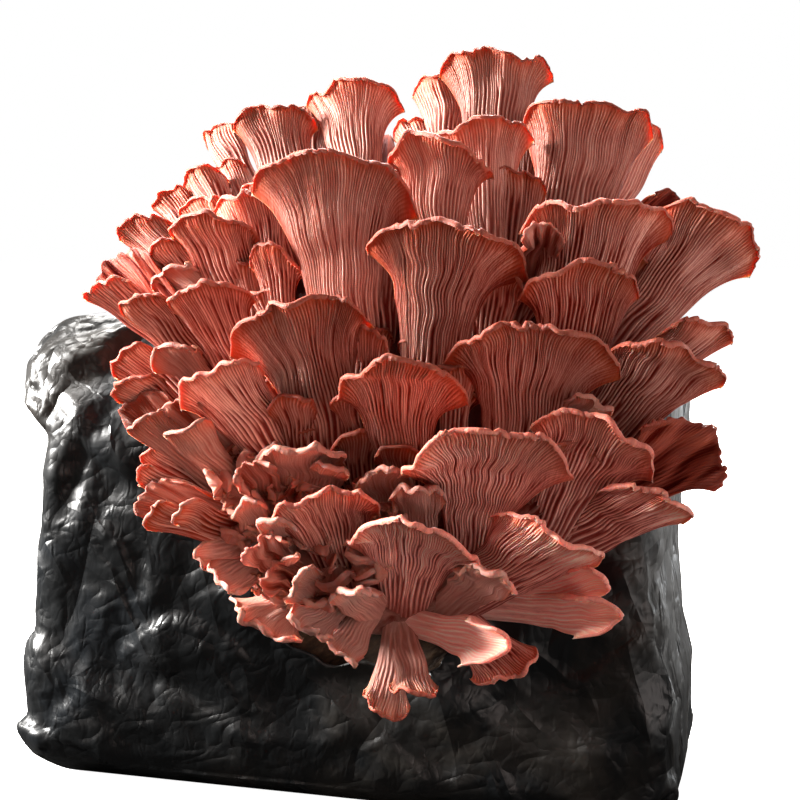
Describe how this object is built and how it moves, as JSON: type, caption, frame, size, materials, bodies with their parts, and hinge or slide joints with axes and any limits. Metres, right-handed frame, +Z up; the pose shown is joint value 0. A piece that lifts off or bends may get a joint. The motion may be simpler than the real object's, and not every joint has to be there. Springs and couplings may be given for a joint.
{
  "type": "oyster mushroom grow bag",
  "caption": "Block-shaped black film bag of substrate with a dense flush of pink fan-shaped oyster mushrooms growing from a slit in its front.",
  "frame": {"origin": "centre of the bag's flat bottom, on the surface that it stands on", "axes": "+Z up, -Y out of the front face that the mushrooms grow from, +X to the right as seen from the front"},
  "size_m": [0.2875, 0.2178, 0.2823],
  "materials": {
    "black_film": "thin glossy black polythene film, crinkled all over",
    "substrate": "packed moist brown sawdust and straw",
    "pale_flesh": "matt pale pink fused mushroom stems, netted with low ridges",
    "coral_flesh": "matt coral mushroom flesh with fine pale gills, deeper orange-red at the rims"
  },
  "bodies": {
    "root": {"bag_film": "black_film", "substrate_block": "substrate", "cluster_base": "pale_flesh", "mushroom_crown_peak": "coral_flesh", "mushroom_crown_rear": "coral_flesh", "mushroom_crown_left": "coral_flesh", "mushroom_shoulder_left": "coral_flesh", "mushroom_crown_inner": "coral_flesh", "mushroom_crown_right": "coral_flesh", "mushroom_crown_shadow": "coral_flesh", "mushroom_right_rear": "coral_flesh", "mushroom_inner_bright": "coral_flesh", "mushroom_great_left": "coral_flesh", "mushroom_great_centre": "coral_flesh", "mushroom_right_upper": "coral_flesh", "mushroom_right_wing": "coral_flesh", "mushroom_right_middle": "coral_flesh", "mushroom_twisted_leaf": "coral_flesh", "mushroom_left_tall": "coral_flesh", "mushroom_left_lean": "coral_flesh", "mushroom_left_wisp": "coral_flesh", "mushroom_left_inner": "coral_flesh", "mushroom_left_second": "coral_flesh", "mushroom_left_arch": "coral_flesh", "mushroom_left_small": "coral_flesh", "mushroom_left_horn": "coral_flesh", "mushroom_left_curl": "coral_flesh", "mushroom_left_wing": "coral_flesh", "mushroom_left_under_wing": "coral_flesh", "mushroom_left_slope": "coral_flesh", "mushroom_great_low_left": "coral_flesh", "mushroom_tucked_centre": "coral_flesh", "mushroom_left_middle": "coral_flesh", "mushroom_round_centre": "coral_flesh", "mushroom_great_right": "coral_flesh", "mushroom_left_ruffle": "coral_flesh", "mushroom_left_bowl": "coral_flesh", "mushroom_left_lip": "coral_flesh", "mushroom_left_frill": "coral_flesh", "mushroom_left_low": "coral_flesh", "mushroom_right_behind": "coral_flesh", "mushroom_right_lower_wing": "coral_flesh", "mushroom_right_fan": "coral_flesh", "mushroom_front_great": "coral_flesh", "mushroom_right_funnel": "coral_flesh", "mushroom_front_right": "coral_flesh", "mushroom_front_low": "coral_flesh", "mushroom_front_left": "coral_flesh", "mushroom_low_boat": "coral_flesh", "mushroom_low_front": "coral_flesh", "mushroom_low_pair": "coral_flesh", "mushroom_hanging": "coral_flesh", "mushroom_back_left": "coral_flesh", "mushroom_back_middle": "coral_flesh", "mushroom_back_upper": "coral_flesh", "mushroom_back_right": "coral_flesh", "mushroom_back_side": "coral_flesh", "mushroom_back_low": "coral_flesh"}
  },
  "joints": []
}
